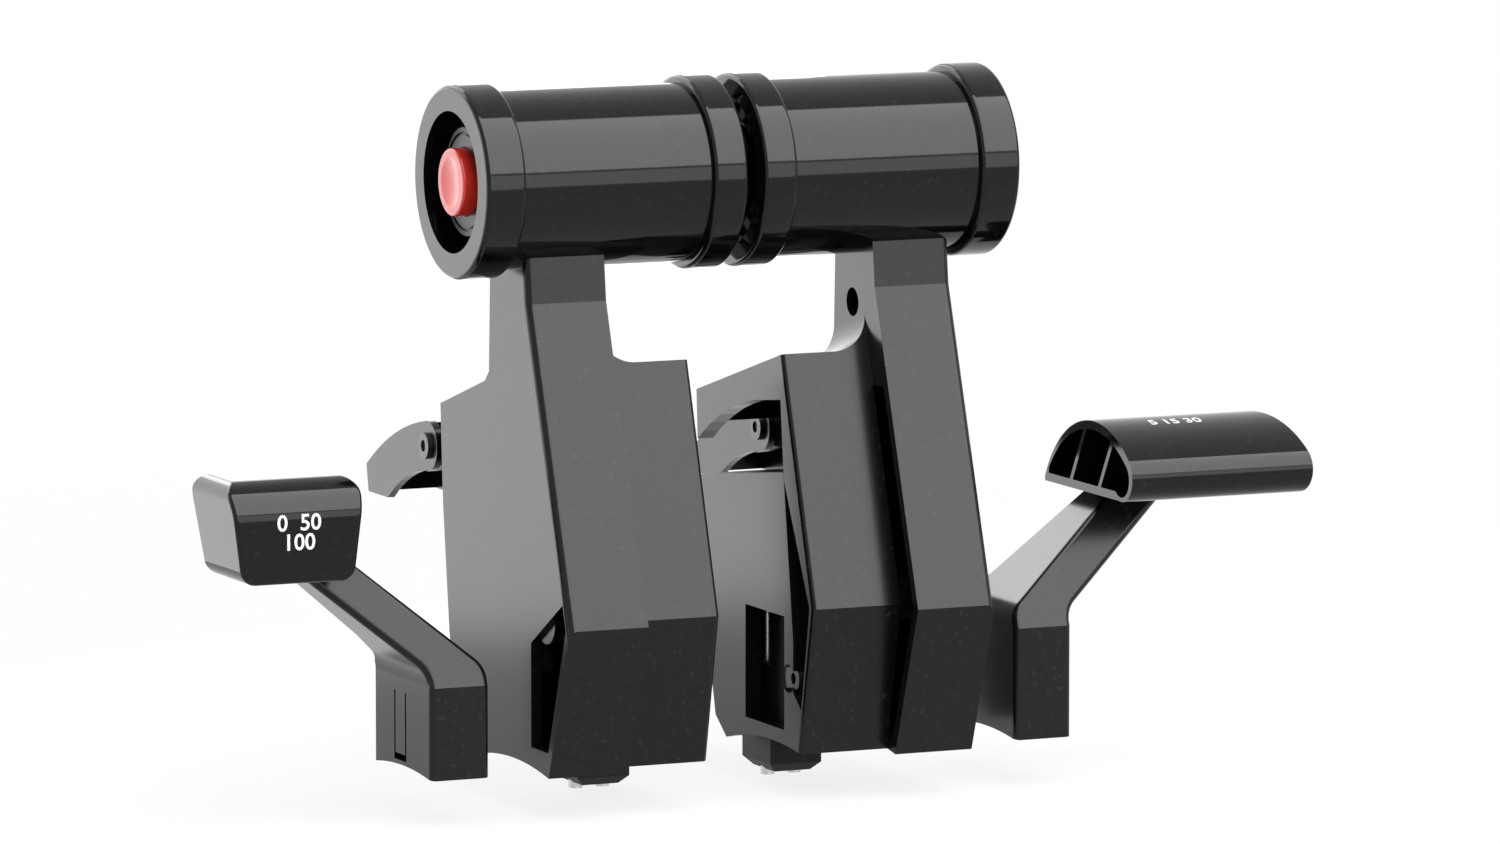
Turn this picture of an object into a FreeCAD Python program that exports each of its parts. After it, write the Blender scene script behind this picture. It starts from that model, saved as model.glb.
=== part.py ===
"""Lever set of a twin-engine throttle quadrant, in millimetres.

Two thrust levers stand between a speed brake lever and a flap lever. All four slip onto flat arms that
swing about one shaft below them. The origin is at the mouth of the speed brake lever's arm socket. X runs
to the right along the grips, Y away from the pilot and Z up.
"""
import FreeCAD, Part
import math
import os

# Lever set
lever_pitch = 39.4
swing_radius = 90.0
shell_wall = 2.0
edge_radius = 1.5
fit_gap = 0.1
running_gap = 0.3
curve_points = 9
near = 0.05
coil_arcs = 4

# Flat arm of the base, which every lever slips onto
arm_width = 6.0
arm_depth = 18.0
arm_fit = 0.1

# Grips
grip_y = 3.5
grip_z = 107.0
grip_length = 52.0
grip_spacing = 3.3
grip_radius = 16.6
grip_bore_radius = 14.1
flange_radius = 18.0
outer_flange_width = 7.8
inner_flange_width = 6.7
flange_round = 0.9
mouth_radius = 13.1
mouth_depth = 7.0
vent_width = 4.0
vent_length = 3.6
vent_depth = 1.4
vent_inset = 1.5

# Side profile of a thrust lever, as Y and Z
neck_front_y = -4.5
neckline_y = -7.0
neckline_z = 85.0
knee_y = -26.5
knee_z = 27.0
toe_y = -16.5
heel_y = 20.2
heel_top_y = 26.3
heel_top_z = 1.0
back_low_y = 31.1
back_low_z = 19.5
back_mid_y = 34.0
back_mid_z = 43.3
back_top_y = 35.1
back_top_z = 62.0
shoulder_y = 13.4
shoulder_z = 68.7
neck_back_y = 11.4
neck_back_top_y = 10.1
neck_foot_rise = 2.0

# Outer shell
shell_offset = 10.8
arm_inset = 23.15
outer_width = 15.7
toe_cut_y = -8.3
toe_cut_low_z = 3.2
toe_cut_high_z = 22.6
toe_cut_margin = 1.8
toe_cut_slope_z = 31.5
toe_cut_depth = 2.5
post_width = 12.2
post_inset = 1.0
post_depth = 10.0
post_over_crank = 4.0
post_slot = 3.6

# Inner shell and its cover
inner_width = 17.7
inner_top_y = -4.4
inner_top_z = 73.0
inner_knee_y = -18.8
inner_toe_y = -12.9
saddle_radius = 7.0
inner_edge_radius = 1.0
cover_thickness = 1.2
strip_depth = 3.2
strip_wall = 1.2
strip_top_drop = 1.5
cover_top_z = 51.0
cover_drop = 5.0
cover_front_y = -5.1
cover_knee_y = -9.6
cover_knee_z = 19.6
cover_step_z = 10.2
cover_toe_y = -13.2
cover_toe_z = 7.4
cover_foot_y = -11.7
port_front_y = -3.7
port_front_z = 64.4
port_back_z = 52.0
port_bulge = 2.4
port_bow_end_y = 3.1
port_bow_drop = 0.8
back_port_top_z = 56.0
window_front_y = -5.5
window_back_y = 12.3
window_low_z = 2.6
window_high_z = 24.0
foot_way_z = 6.0

# Case screws
screw_radius = 1.5
screw_head_radius = 2.6
screw_head_height = 2.0
screw_recess = 1.0
deep_screw_recess = 5.0
socket_radius = 1.1
socket_depth = 1.2
boss_wall = 1.6
strip_screw_y = -13.0
strip_screw_z = 27.2
cover_screw_y = -7.4
cover_screw_z = 12.5
neck_screw_y = 2.9
neck_screw_z = 81.2
neck_screw_length = 6.0

# Button in the outer end of a grip
button_radius = 6.3
button_clearance = 0.15
button_height = 6.5
button_dish_radius = 4.6
button_dish_depth = 0.7
button_edge_radius = 0.5
button_travel = 2.0
stem_radius = 2.0
stem_clearance = 0.15
stem_tip_radius = 0.4
stem_barb_radius = 2.7
stem_barb_width = 0.8
carrier_radius = 10.0
carrier_top = 2.9
carrier_flange_width = 2.0
carrier_floor = 2.0
carrier_groove_radius = 8.9
carrier_groove_width = 0.6
carrier_groove_depth = 0.4
button_spring_length = 4.0
spring_wire = 0.5
button_spring_radius = 3.6
button_spring_turns = 3

# Bell cranks
crank_reach = 6.0
crank_thickness = 3.0
crank_arm_width = 2.6
crank_hub_radius = 2.4
crank_pin_radius = 1.0
crank_pin_clearance = 0.08
button_crank_inset = 3.2
button_crank_drop = 6.0
reverse_crank_y = 22.0

# Push rods and their guide block
rod_radius = 1.3
rod_clearance = 0.2
guide_width = 10.5
guide_front_y = 12.0
guide_back_y = 25.0
guide_foot_z = -8.5
guide_top_z = 12.0
guide_chamfer = 1.6
rod_row_y = 19.0
rod_spacing = 5.4
rod_tip = 1.2
neck_rod_y = 7.6
neck_rod_z = 88.0
neck_rod_overrun = 8.0
crank_rod_z = 95.0
button_rod_bend_z = 58.0
button_rod_straight_z = 32.0
reverse_rod_bend_z = 38.0
reverse_rod_straight_z = 17.0

# Arm sockets
thrust_socket_wall = 2.4
thrust_socket_height = 22.0
thrust_socket_roof = 2.0
thrust_socket_y = -0.3

# Grip end cap
cap_length = 5.0
cap_recess = 1.0
cap_groove_radius = 10.0
cap_groove_width = 1.6
cap_groove_depth = 1.0
cap_hub_radius = 5.0

# Reverse lever on the far side of each thrust lever
reverse_y = 44.5
reverse_z = 52.8
reverse_offset = 1.2
reverse_width = 15.0
reverse_plate = 1.4
reverse_eye_radius = 4.7
reverse_length = 30.8
reverse_tip_drop = 7.1
reverse_tip_height = 5.2
reverse_tip_lean = 1.0
reverse_crown = 2.0
reverse_arch_start = 12.0
reverse_arch_end = 20.0
reverse_arch_height = 4.6
reverse_skin_start = 7.4
reverse_web = 3.0
cam_radius = 2.9
cam_rise = 1.6
cam_turn = 80.0
cam_gap = 0.35
cam_steps = 12
cam_rest_turn = 60.0
web_waist = 2.5
reverse_pin_radius = 1.5
pin_clearance = 0.08
pin_head_radius = 2.5
pin_head_height = 0.9
bracket_height = 7.6
bracket_nose_radius = 3.8
bracket_flange_height = 13.0
bracket_flange_thickness = 2.0
bracket_ear = 2.6
bracket_crank_gap = 1.2
bracket_flange_margin = 1.0
plunger_radius = 1.8
plunger_clearance = 0.1
torsion_wire = 0.4
torsion_turns = 2
torsion_clearance = 0.25

# Speed brake and flap levers
handle_width = 11.6
handle_depth = 27.0
handle_front_y = -13.6
handle_pocket_depth = 14.0
handle_blend = 5.0
handle_edge_radius = 1.2
branch_rise = 40.0
branch_thickness = 8.0
branch_front_lean = 0.4
branch_back_y = 8.0
branch_back_lean = 0.2
tongue_width = 4.6
tongue_length = 11.6
tongue_low_z = 2.0
tongue_y = 1.4
tongue_slit = 0.6
brake_screw_length = 9.0
flap_screw_length = 6.5
knob_screw_recess = 1.5
knob_edge_radius = 0.8

# Speed brake knob
brake_corner_z = 18.6
brake_branch_reach = 28.0
brake_tenon_height = 8.0
brake_knob_x = -31.4
brake_knob_front_y = -13.5
brake_knob_low_z = 37.0
brake_knob_width = 26.6
brake_knob_depth = 22.0
brake_knob_height = 18.6
brake_knob_taper = 2.4
brake_knob_brow = 7.0
brake_knob_back_lean = 3.0
brake_knob_back_round = 4.0
brake_knob_corner = 3.0
brake_knob_crease = 0.05
brake_screw_inset = 3.4
brake_screw_height = 4.5

# Flap knob
flap_corner_z = 22.6
flap_branch_reach = 31.0
flap_knob_low_z = 43.6
flap_knob_height = 13.6
flap_knob_nose_y = -22.4
flap_knob_nose_z = 49.3
flap_knob_chin = 5.4
flap_knob_brow_depth = 1.4
flap_knob_brow_rise = 2.25
flap_knob_chord = 37.5
flap_knob_crest_y = -3.0
flap_knob_tail_height = 1.0
flap_knob_offset = 13.9
flap_knob_length = 38.0
flap_knob_skew = 7.4
flap_knob_wall = 1.6
flap_knob_rib = 1.2
flap_rib_1_top_y = -3.8
flap_rib_1_low_y = 4.0
flap_rib_2_top_y = -16.2
flap_rib_2_low_y = -8.1
flap_screw_y = -2.0
flap_screw_inset = 9.4

# Derived places
arm_x = lever_pitch
shell_x = arm_x - arm_inset
grip_end_x = shell_x - shell_offset
grip_inner_x = grip_end_x + grip_length
set_middle_x = grip_inner_x + grip_spacing / 2
flap_x = 2 * set_middle_x
seam_x = shell_x + outer_width
side_x = seam_x + inner_width
ledge_x = side_x - cover_thickness
post_top_z = grip_z - button_crank_drop + post_over_crank
clear = 60.0


def box(x, y, z):
    """Block between the low and high value of each axis."""
    block = Part.makeBox(x[1] - x[0], y[1] - y[0], z[1] - z[0])
    block.translate(FreeCAD.Vector(x[0], y[0], z[0]))
    return block


def rod_x(y, z, radius, x0, x1):
    return Part.makeCylinder(radius, x1 - x0, FreeCAD.Vector(x0, y, z), FreeCAD.Vector(1, 0, 0))


def rod_y(x, z, radius, y0, y1):
    return Part.makeCylinder(radius, y1 - y0, FreeCAD.Vector(x, y0, z), FreeCAD.Vector(0, 1, 0))


def rod_z(x, y, radius, z0, z1):
    return Part.makeCylinder(radius, z1 - z0, FreeCAD.Vector(x, y, z0))


def ring_x(y, z, inner, outer, x0, x1):
    return rod_x(y, z, outer, x0, x1).cut(rod_x(y, z, inner, x0 - 1, x1 + 1))


def plate_x(points, x0, x1):
    """Flat plate with an outline of (Y, Z) points, between two X values."""
    corners = [FreeCAD.Vector(x0, y, z) for y, z in points]
    face = Part.Face(Part.makePolygon(corners + corners[:1]))
    return face.extrude(FreeCAD.Vector(x1 - x0, 0, 0))


def plate_y(points, y0, y1):
    """Flat plate with an outline of (X, Z) points, between two Y values."""
    corners = [FreeCAD.Vector(x, y0, z) for x, z in points]
    face = Part.Face(Part.makePolygon(corners + corners[:1]))
    return face.extrude(FreeCAD.Vector(0, y1 - y0, 0))


def swing_cylinder(extra, x0, x1):
    """Cylinder about the swing shaft that hollows the foot of a lever."""
    return rod_x(0, -swing_radius, swing_radius + extra, x0, x1)


def inset(points, distance):
    """Outline moved inwards by a distance, with mitred corners; the points run clockwise or not."""
    turn = sum(a[0] * b[1] - b[0] * a[1] for a, b in zip(points, points[1:] + points[:1]))
    side = distance if turn > 0 else -distance
    moved = []
    for i, corner in enumerate(points):
        before = points[i - 1]
        after = points[(i + 1) % len(points)]
        a = FreeCAD.Vector(corner[0] - before[0], corner[1] - before[1], 0).normalize()
        b = FreeCAD.Vector(after[0] - corner[0], after[1] - corner[1], 0).normalize()
        mitre = side / (1 + a.dot(b))
        moved.append((corner[0] - mitre * (a.y + b.y), corner[1] + mitre * (a.x + b.x)))
    return moved


def at_height(low, high, z):
    """Y where the straight line between two (Y, Z) points reaches a height."""
    return low[0] + (high[0] - low[0]) * (z - low[1]) / (high[1] - low[1])


def foot_z(y):
    """Height of the foot's round underside."""
    return math.sqrt(swing_radius ** 2 - y ** 2) - swing_radius


def round_edges(shape, radius, chosen):
    edges = [edge for edge in shape.Edges if chosen(edge)]
    return shape.makeFillet(radius, edges) if edges else shape


def coil(radius, wire, height, turns):
    """Spring of round wire that stands on the XY plane, swept along short arcs of its helix."""
    steps = 2 * coil_arcs
    rise = (height - wire) / (turns * steps)
    points = []
    for i in range(turns * steps + 1):
        angle = 2 * math.pi * i / steps
        points.append(FreeCAD.Vector(radius * math.cos(angle), radius * math.sin(angle), wire / 2 + rise * i))
    arcs = [Part.Arc(*points[i:i + 3]).toShape() for i in range(0, turns * steps, 2)]
    lead = arcs[0].Curve.tangent(arcs[0].FirstParameter)[0]
    ring = Part.Wire(Part.makeCircle(wire / 2, points[0], lead))
    return Part.Wire(arcs).makePipeShell([ring], True, False, 1)


def turned(shape, axis, angle, centre=(0, 0, 0)):
    copy = shape.copy()
    copy.rotate(FreeCAD.Vector(*centre), FreeCAD.Vector(*axis), angle)
    return copy


def moved(shape, x, y, z):
    copy = shape.copy()
    copy.translate(FreeCAD.Vector(x, y, z))
    return copy


def screw(x, y, z, length):
    """Cap screw along X with its head towards +X; x is the underside of the head."""
    body = rod_x(y, z, screw_radius, x - length, x)
    head = rod_x(y, z, screw_head_radius, x, x + screw_head_height)
    top = x + screw_head_height
    drive = rod_x(y, z, socket_radius, top - socket_depth, top + 1)
    return body.fuse(head).cut(drive)


# Thrust lever housing

back_outline = [(heel_y, foot_z(heel_y)), (heel_top_y, heel_top_z), (back_low_y, back_low_z),
                (back_mid_y, back_mid_z), (back_top_y, back_top_z)]
outer_toe = (toe_y, foot_z(toe_y))
inner_toe = (inner_toe_y, foot_z(inner_toe_y))
knee = (knee_y, knee_z)
neckline = (neckline_y, neckline_z)
inner_knee = (inner_knee_y, knee_z)
shoulder_front_y = at_height(knee, neckline, shoulder_z)
housing_outline = [(shoulder_front_y, shoulder_z), knee, outer_toe] + back_outline
housing_outline += [(shoulder_y, shoulder_z)]
inner_outline = [(inner_top_y, inner_top_z), inner_knee, inner_toe] + back_outline
outer_outline = [(neck_front_y, grip_z), neckline, knee, outer_toe] + back_outline
outer_outline += [(shoulder_y, shoulder_z), (neck_back_y, shoulder_z + neck_foot_rise)]
outer_outline += [(neck_back_top_y, grip_z)]


def post_outline():
    """Post that stands up through the grip, as ranges of X and Y."""
    x = (seam_x - post_inset - post_width, seam_x - post_inset)
    y = (grip_y - post_depth / 2, grip_y + post_depth / 2)
    return x, y


def button_crank_place():
    return seam_x - crank_reach - button_crank_inset, grip_z - button_crank_drop


def boss(y, z, x0, x1):
    return ring_x(y, z, screw_radius, screw_head_radius + fit_gap + boss_wall, x0, x1)


def outer_shell():
    """Front column, its side wall and the neck that carries the grip."""
    body = plate_x(outer_outline, shell_x, seam_x)
    body = body.cut(swing_cylinder(0, shell_x - 1, seam_x + 1))
    body = body.cut(rod_x(grip_y, grip_z, grip_radius, shell_x - 1, seam_x + 1))
    body = round_edges(body, edge_radius, front_edge(shell_x))
    hollow = plate_x(inset(housing_outline, shell_wall), shell_x + shell_wall, seam_x + 1)
    hollow = hollow.cut(swing_cylinder(shell_wall, shell_x, seam_x + 2))
    body = body.cut(hollow)
    post_x, post_y = post_outline()
    body = body.fuse(box(post_x, post_y, (neckline_z, post_top_z)))
    return finish_outer(body)


def rod_way(x, top_z):
    """Way of the button's rod: a slot in the post and a bore down the back of the neck."""
    radius = rod_radius + rod_clearance
    low_z = neck_rod_z - rod_radius * 2 - button_travel
    slot = box((x - radius, x + radius), (grip_y - radius, neck_rod_y + radius), (low_z, top_z))
    return slot.fuse(rod_z(x, neck_rod_y, radius, shoulder_z - neck_rod_overrun, neck_rod_z))


def front_edge(x):
    """Picks the long front edges of the column on one side."""
    def chosen(edge):
        ends = [vertex.Point for vertex in edge.Vertexes]
        if len(ends) < 2:
            return False
        on_side = all(abs(point.x - x) < near for point in ends)
        front = all(point.y < neckline_y + near or point.z > shoulder_z and point.y < neck_front_y + near
                    for point in ends)
        return on_side and front and min(point.z for point in ends) > knee_z - near
    return chosen


def finish_outer(body):
    """Openings of the outer shell: toe, back slot, rod way, crank slot and screw holes."""
    front_low_y = at_height(outer_toe, knee, toe_cut_low_z) + toe_cut_margin
    front_high_y = at_height(knee, neckline, toe_cut_slope_z) + toe_cut_margin
    toe = [(toe_cut_y, toe_cut_low_z), (toe_cut_y, toe_cut_high_z), (front_high_y, toe_cut_slope_z),
           (knee_y + toe_cut_margin, knee_z), (front_low_y, toe_cut_low_z)]
    body = body.cut(plate_x(toe, shell_x - 1, shell_x + toe_cut_depth))
    low, high = bracket_ranges()
    bracket_z = (reverse_z - bracket_height / 2 - fit_gap, reverse_z + bracket_height / 2 + fit_gap)
    bracket_x = (low[0] - fit_gap, high[1] + fit_gap)
    body = body.cut(box(bracket_x, (back_low_y - shell_wall, reverse_y), bracket_z))
    crank_x, crank_z = button_crank_place()
    slot = box((shell_x - 1, seam_x + 1), (grip_y - post_slot / 2, grip_y + post_slot / 2),
               (crank_z - crank_hub_radius - crank_thickness, post_top_z + 1))
    post_x, post_y = post_outline()
    body = body.cut(slot.common(box((post_x[0] - 1, post_x[1] + 1), post_y, (neckline_z, post_top_z + 1))))
    body = body.cut(rod_y(crank_x, crank_z, crank_pin_radius, post_y[0] - 1, post_y[1] + 1))
    body = body.cut(rod_way(crank_x + crank_reach, crank_z))
    head_x = neck_head_x()
    body = body.cut(rod_x(neck_screw_y, neck_screw_z, screw_head_radius + fit_gap, head_x, seam_x + 1))
    body = body.cut(rod_x(neck_screw_y, neck_screw_z, screw_radius, head_x - neck_screw_length, head_x + 1))
    body = body.fuse(boss(strip_screw_y, strip_screw_z, shell_x + shell_wall / 2, seam_x))
    return body.removeSplitter()


def inner_shell():
    """Inner half of the housing, open towards the outer shell and at the back."""
    body = plate_x(inner_outline, seam_x, side_x)
    body = round_edges(body, inner_edge_radius, inner_front_edge)
    body = body.cut(swing_cylinder(0, seam_x - 1, side_x + 1))
    body = body.fuse(saddle())
    hollow = plate_x(inset(inner_outline, shell_wall), seam_x - 1, ledge_x - shell_wall)
    hollow = hollow.cut(swing_cylinder(shell_wall, seam_x - 2, side_x))
    body = body.cut(hollow)
    strip_x = side_x - strip_depth
    body = body.fuse(plate_x(inset(strip_outline(), -strip_wall), strip_x - strip_wall, ledge_x))
    body = body.cut(plate_x(cover_outline(), ledge_x, side_x + 1))
    body = body.cut(plate_x(port_outline(), ledge_x - shell_wall - 1, side_x + 1))
    body = body.cut(window(ledge_x - shell_wall - 1, side_x + 1))
    back_port = box((seam_x - 1, ledge_x - shell_wall), (reverse_crank_y, back_top_y + 1),
                    (cover_top_z - cover_drop, back_port_top_z))
    body = body.cut(back_port)
    return finish_inner(body)


def inner_front_edge(edge):
    """Tells the front edges on the cover's side of the inner shell."""
    ends = [vertex.Point for vertex in edge.Vertexes]
    return all(abs(point.x - side_x) < near and point.y < inner_top_y + near for point in ends)


def saddle():
    """Hollow blend between the sloping roof of the inner shell and the neck, flush with the front."""
    fall = math.degrees(math.atan2(back_top_z - inner_top_z, back_top_y - inner_top_y))
    y = (inner_top_y - shell_wall * 2, back_top_y)
    body = box((seam_x, seam_x + saddle_radius), y, (inner_top_z - shell_wall, inner_top_z + saddle_radius))
    round_x = seam_x + saddle_radius
    body = body.cut(rod_y(round_x, inner_top_z + saddle_radius, saddle_radius, y[0] - 1, y[1] + 1))
    body.rotate(FreeCAD.Vector(seam_x, inner_top_y, inner_top_z), FreeCAD.Vector(1, 0, 0), fall)
    front_y = at_height(inner_knee, (inner_top_y, inner_top_z), grip_z)
    side = [inner_knee, (front_y, grip_z), (neck_back_top_y, grip_z),
            (neck_back_y, shoulder_z + neck_foot_rise), (neck_back_y, knee_z)]
    return body.common(plate_x(side, seam_x, side_x))


def strip_outline():
    """Outline of the deep strip in front of the side cover, which ends just below the port."""
    top_z = cover_top_z - strip_top_drop
    top_y = at_height((cover_front_y, cover_top_z), (cover_knee_y, cover_knee_z), top_z)
    return [(top_y, top_z), (inner_knee_y + shell_wall, knee_z), (cover_toe_y, cover_toe_z),
            (cover_knee_y, cover_step_z), (cover_knee_y, cover_knee_z)]


def cover_back_y():
    """Y of the back end of the side cover's upper edge."""
    return at_height((back_mid_y, back_mid_z), (back_top_y, back_top_z), cover_top_z - cover_drop)


def cover_outline():
    """Outline of the side cover, from the top at the back to the foot."""
    points = [(cover_back_y(), cover_top_z - cover_drop), (cover_front_y, cover_top_z)]
    points += [(cover_knee_y, cover_knee_z), (cover_knee_y, cover_step_z), (cover_toe_y, cover_toe_z)]
    points += [(cover_foot_y, foot_z(cover_foot_y) - 1), (heel_y, foot_z(heel_y) - 1)]
    return points + back_outline[1:4]


def port_outline():
    """Side port above the cover, with a bowed upper edge."""
    back_y = at_height((back_mid_y, back_mid_z), (back_top_y, back_top_z), port_back_z)
    start = FreeCAD.Vector(back_y + 1, port_back_z, 0)
    end = FreeCAD.Vector(port_bow_end_y, port_front_z - port_bow_drop, 0)
    middle = (start + end) * 0.5 + FreeCAD.Vector(0, port_bulge, 0)
    bow = Part.Arc(start, middle, end).toShape().discretize(curve_points)
    points = [(point.x, point.y) for point in bow]
    points += [(port_front_y, port_front_z), (cover_front_y, cover_top_z)]
    fall = cover_drop / (cover_back_y() - cover_front_y)
    points += [(back_y + 1, cover_top_z - fall * (back_y + 1 - cover_front_y))]
    return points


def window(x0, x1):
    return box((x0, x1), (window_front_y, window_back_y), (window_low_z, window_high_z))


def finish_inner(body):
    """Way for the arm socket and the guide block, and the screw holes."""
    socket_x, socket_y = thrust_socket_outline()
    body = body.cut(box((socket_x[0] - fit_gap, socket_x[1] + fit_gap),
                        (socket_y[0] - fit_gap, socket_y[1] + fit_gap), (-clear, foot_way_z)))
    body = body.cut(box((arm_x - guide_width / 2 - fit_gap, arm_x + guide_width / 2 + fit_gap),
                        (guide_front_y - fit_gap, guide_back_y + fit_gap), (-clear, foot_way_z)))
    head_x = strip_head_x()
    head_radius = screw_head_radius + fit_gap
    hole = rod_x(strip_screw_y, strip_screw_z, head_radius, head_x, side_x + 1)
    body = body.fuse(rod_x(strip_screw_y, strip_screw_z, head_radius + boss_wall, seam_x,
                           ledge_x - shell_wall / 2))
    body = body.cut(hole)
    body = body.cut(rod_x(strip_screw_y, strip_screw_z, screw_radius + fit_gap, seam_x - 1, head_x + 1))
    pad_x = socket_x[1] + fit_gap
    pad_radius = screw_head_radius + boss_wall
    body = body.fuse(rod_x(cover_screw_y, cover_screw_z, pad_radius, pad_x, ledge_x - fit_gap))
    body = body.cut(rod_x(cover_screw_y, cover_screw_z, screw_radius + fit_gap, pad_x - 1, side_x + 1))
    body = body.cut(rod_x(cover_screw_y, cover_screw_z, head_radius, cover_head_x(), side_x + 1))
    body = body.cut(plate_x(strip_outline(), side_x - strip_depth, side_x + 1))
    return body.removeSplitter()


def neck_head_x():
    """Underside of the head of the neck's screw."""
    return seam_x - deep_screw_recess - screw_head_height


def strip_head_x():
    """Underside of the head of the strip's screw."""
    return ledge_x - deep_screw_recess - screw_head_height


def cover_head_x():
    """Underside of the head of the cover's screw."""
    return side_x - screw_recess - screw_head_height


def inner_cover():
    """Side plate with the window and its screw hole."""
    points = cover_outline()
    body = plate_x(inset(points, fit_gap), ledge_x, side_x)
    body = body.cut(swing_cylinder(0, ledge_x - 1, side_x + 1))
    body = body.cut(window(ledge_x - 1, side_x + 1))
    return body.cut(rod_x(cover_screw_y, cover_screw_z, screw_head_radius + fit_gap, ledge_x - 1, side_x + 1))


def case_screws():
    """Screws of the strip, the neck and the cover."""
    strip = screw(strip_head_x(), strip_screw_y, strip_screw_z, strip_head_x() - shell_x - shell_wall)
    neck = screw(neck_head_x(), neck_screw_y, neck_screw_z, neck_screw_length)
    thread_x = thrust_socket_outline()[0][1] - thrust_socket_wall
    cover = screw(cover_head_x(), cover_screw_y, cover_screw_z, cover_head_x() - thread_x)
    return Part.makeCompound([strip, neck, cover])


def grip():
    """Flanged sleeve with a lipped mouth at the outer end."""
    x0 = grip_end_x
    x1 = grip_inner_x
    body = rod_x(grip_y, grip_z, grip_radius, x0, x1)
    outer = rod_x(grip_y, grip_z, flange_radius, x0, x0 + outer_flange_width)
    inner = rod_x(grip_y, grip_z, flange_radius, x1 - inner_flange_width, x1)
    outer = outer.makeFillet(flange_round, outer.Edges[:1] + outer.Edges[2:3])
    inner = inner.makeFillet(flange_round, inner.Edges[:1] + inner.Edges[2:3])
    body = body.fuse([outer, inner])
    body = body.cut(rod_x(grip_y, grip_z, grip_bore_radius, x0 + mouth_depth, x1 + 1))
    body = body.cut(rod_x(grip_y, grip_z, mouth_radius, x0 - 1, x1 + 1))
    vent_x = (x0 + vent_inset, x0 + vent_inset + vent_length)
    vent_y = (grip_y - vent_width / 2, grip_y + vent_width / 2)
    body = body.cut(box(vent_x, vent_y, (grip_z - mouth_radius - vent_depth, grip_z)))
    post_x, post_y = post_outline()
    way_x = (post_x[0] - fit_gap, post_x[1] + fit_gap)
    way_y = (post_y[0] - fit_gap, post_y[1] + fit_gap)
    return body.cut(box(way_x, way_y, (grip_z - flange_radius - 1, grip_z)))


def button_carrier():
    """Cup that guides the button, with a flange behind the lip of the grip."""
    x0 = grip_end_x
    floor_x = x0 + button_height + button_spring_length
    body = rod_x(grip_y, grip_z, carrier_radius, x0 + carrier_top, floor_x + carrier_floor)
    body = body.fuse(rod_x(grip_y, grip_z, grip_bore_radius - fit_gap / 2, x0 + mouth_depth,
                           x0 + mouth_depth + carrier_flange_width))
    body = body.cut(rod_x(grip_y, grip_z, button_radius + button_clearance, x0, floor_x))
    body = body.cut(rod_x(grip_y, grip_z, stem_radius + stem_clearance, x0, floor_x + carrier_floor + 1))
    half = carrier_groove_width / 2
    groove = ring_x(grip_y, grip_z, carrier_groove_radius - half, carrier_groove_radius + half,
                    x0, x0 + carrier_top + carrier_groove_depth)
    return body.cut(groove)


def button():
    """Push button with a dished face, a stem and a snap barb."""
    x0 = grip_end_x
    stem_end = button_crank_place()[0] - crank_arm_width / 2 - fit_gap
    floor_back = x0 + button_height + button_spring_length + carrier_floor
    body = rod_x(grip_y, grip_z, button_radius, x0, x0 + button_height)
    body = round_edges(body, button_edge_radius, lambda edge: edge.BoundBox.XMax < x0 + near)
    stem = rod_x(grip_y, grip_z, stem_radius, x0 + 1, stem_end)
    tip = [edge for edge in stem.Edges if edge.BoundBox.XMin > stem_end - near]
    stem = stem.makeChamfer(stem_radius - stem_tip_radius, tip)
    body = body.fuse(stem)
    body = body.fuse(rod_x(grip_y, grip_z, stem_barb_radius, floor_back + fit_gap,
                           floor_back + fit_gap + stem_barb_width))
    ball = (button_dish_radius ** 2 + button_dish_depth ** 2) / (2 * button_dish_depth)
    dish = Part.makeSphere(ball, FreeCAD.Vector(x0 + button_dish_depth - ball, grip_y, grip_z))
    return body.cut(dish)


def button_spring():
    spring = coil(button_spring_radius, spring_wire, button_spring_length - 2 * fit_gap, button_spring_turns)
    spring = turned(spring, (0, 1, 0), 90)
    return moved(spring, grip_end_x + button_height + fit_gap, grip_y, grip_z)


def crank(centre_x, centre_y, centre_z):
    """Bell crank in the XZ plane: one arm up, one arm towards +X, both one reach long."""
    half = crank_thickness / 2
    hub = rod_y(0, 0, crank_hub_radius, -half, half)
    width = crank_arm_width / 2
    up = box((-width, width), (-half, half), (0, crank_reach))
    out = box((0, crank_reach), (-half, half), (-width, width))
    up_end = rod_y(0, crank_reach, width, -half, half)
    out_end = rod_y(crank_reach, 0, width, -half, half)
    body = hub.fuse([up, out, up_end, out_end])
    body = body.cut(rod_y(0, 0, crank_pin_radius + crank_pin_clearance, -half - 1, half + 1))
    return moved(body.removeSplitter(), centre_x, centre_y, centre_z)


def button_crank():
    x, z = button_crank_place()
    return crank(x, grip_y, z)


def button_crank_pin():
    x, z = button_crank_place()
    post_y = post_outline()[1]
    return rod_y(x, z, crank_pin_radius, post_y[0], post_y[1])


def reverse_middle_x():
    return shell_x + reverse_offset + reverse_width / 2


def reverse_crank_place():
    return reverse_middle_x(), reverse_crank_y, reverse_z - crank_reach


def reverse_crank():
    x, y, z = reverse_crank_place()
    return turned(crank(x, y, z), (0, 0, 1), -90, (x, y, z))


def reverse_crank_pin():
    x, y, z = reverse_crank_place()
    return rod_x(y, z, crank_pin_radius, x - bracket_ear - crank_thickness / 2 - fit_gap * 2,
                 x + bracket_ear + crank_thickness / 2 + fit_gap * 2)


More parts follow.
